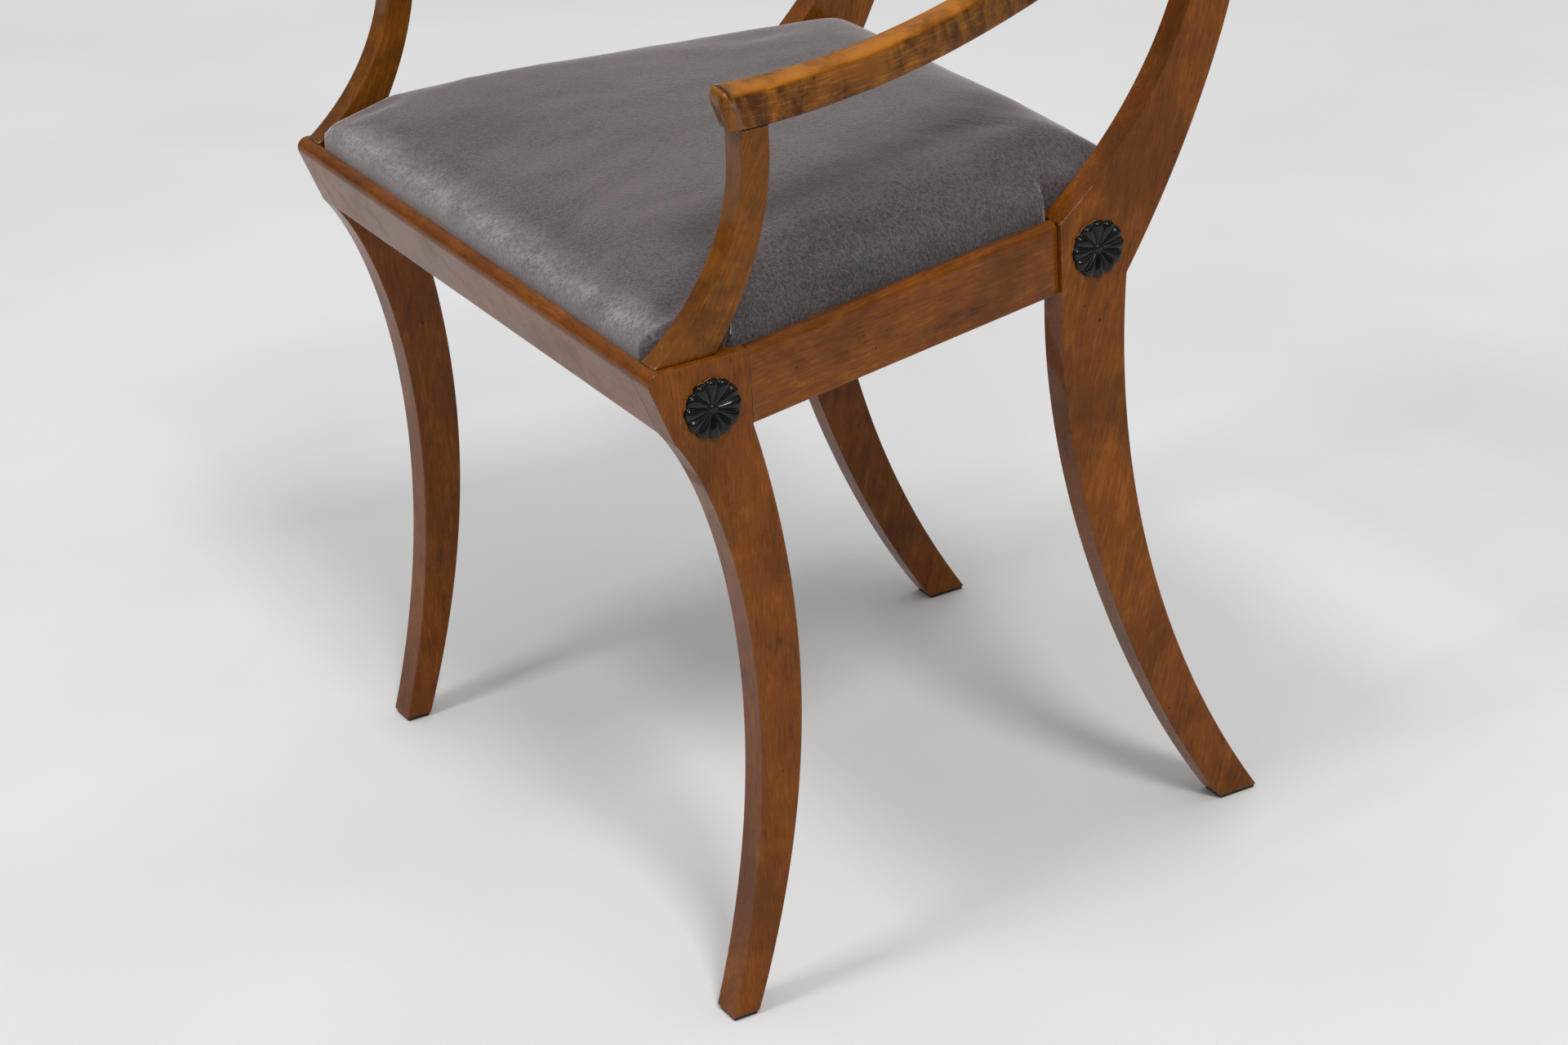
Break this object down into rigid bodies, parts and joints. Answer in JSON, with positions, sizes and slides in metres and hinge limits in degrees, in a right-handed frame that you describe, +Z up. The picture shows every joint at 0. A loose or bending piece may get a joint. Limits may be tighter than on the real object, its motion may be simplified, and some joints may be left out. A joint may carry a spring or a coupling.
{
  "type": "klismos armchair",
  "caption": "Wooden klismos armchair with sabre legs, curved arms and crest rail, carved rosettes and an upholstered drop-in seat.",
  "frame": {"origin": "on the floor, under the middle of the chair's overall width and depth", "axes": "+Z up, the front of the chair faces -Y, +X towards the sitter's left"},
  "size_m": [0.5156, 0.536, 0.858],
  "materials": {
    "birch": "stained and French polished, satin gloss",
    "figured_birch": "figured, stained and French polished, gloss",
    "ebonised": "black, glossy",
    "velvet": "short mohair pile, grey with a mauve cast",
    "softwood": "planed, unfinished",
    "jute": "woven webbing",
    "canvas": "plain weave",
    "black_cloth": "thin cambric",
    "leather": "dark, worn",
    "steel": "plain wood screw"
  },
  "bodies": {
    "frame": {"front_leg_left": "birch", "front_leg_right": "birch", "rear_leg_left": "birch", "rear_leg_right": "birch", "front_rail": "birch", "back_rail": "birch", "side_rail_left": "birch", "side_rail_right": "birch", "arm_post_left": "birch", "arm_post_right": "birch", "arm_left": "figured_birch", "arm_right": "figured_birch", "crest_rail": "figured_birch", "cross_rail": "birch", "front_rosette_left": "ebonised", "front_rosette_right": "ebonised", "rear_rosette_left": "ebonised", "rear_rosette_right": "ebonised", "front_glide_left": "leather", "front_glide_right": "leather", "rear_glide_left": "leather", "rear_glide_right": "leather", "front_corner_block_left": "softwood", "front_corner_block_right": "softwood", "rear_corner_block_left": "softwood", "rear_corner_block_right": "softwood", "front_rail_screw_left": "steel", "front_rail_screw_right": "steel", "front_leg_screw_left": "steel", "front_leg_screw_right": "steel", "back_rail_screw_left": "steel", "back_rail_screw_right": "steel"},
    "seat": {"seat_front_bar": "softwood", "seat_rear_bar": "softwood", "seat_side_bar_left": "softwood", "seat_side_bar_right": "softwood", "webbing_across_1": "jute", "webbing_across_2": "jute", "webbing_across_3": "jute", "webbing_left": "jute", "webbing_middle": "jute", "webbing_right": "jute", "seat_canvas": "canvas", "seat_pad": "velvet", "dust_cover": "black_cloth"}
  },
  "joints": [
    {"name": "seat_lift", "type": "slide", "parent": "frame", "child": "seat", "axis": [0, 0.3746, 0.9272], "range_m": [0, 0.11]}
  ]
}
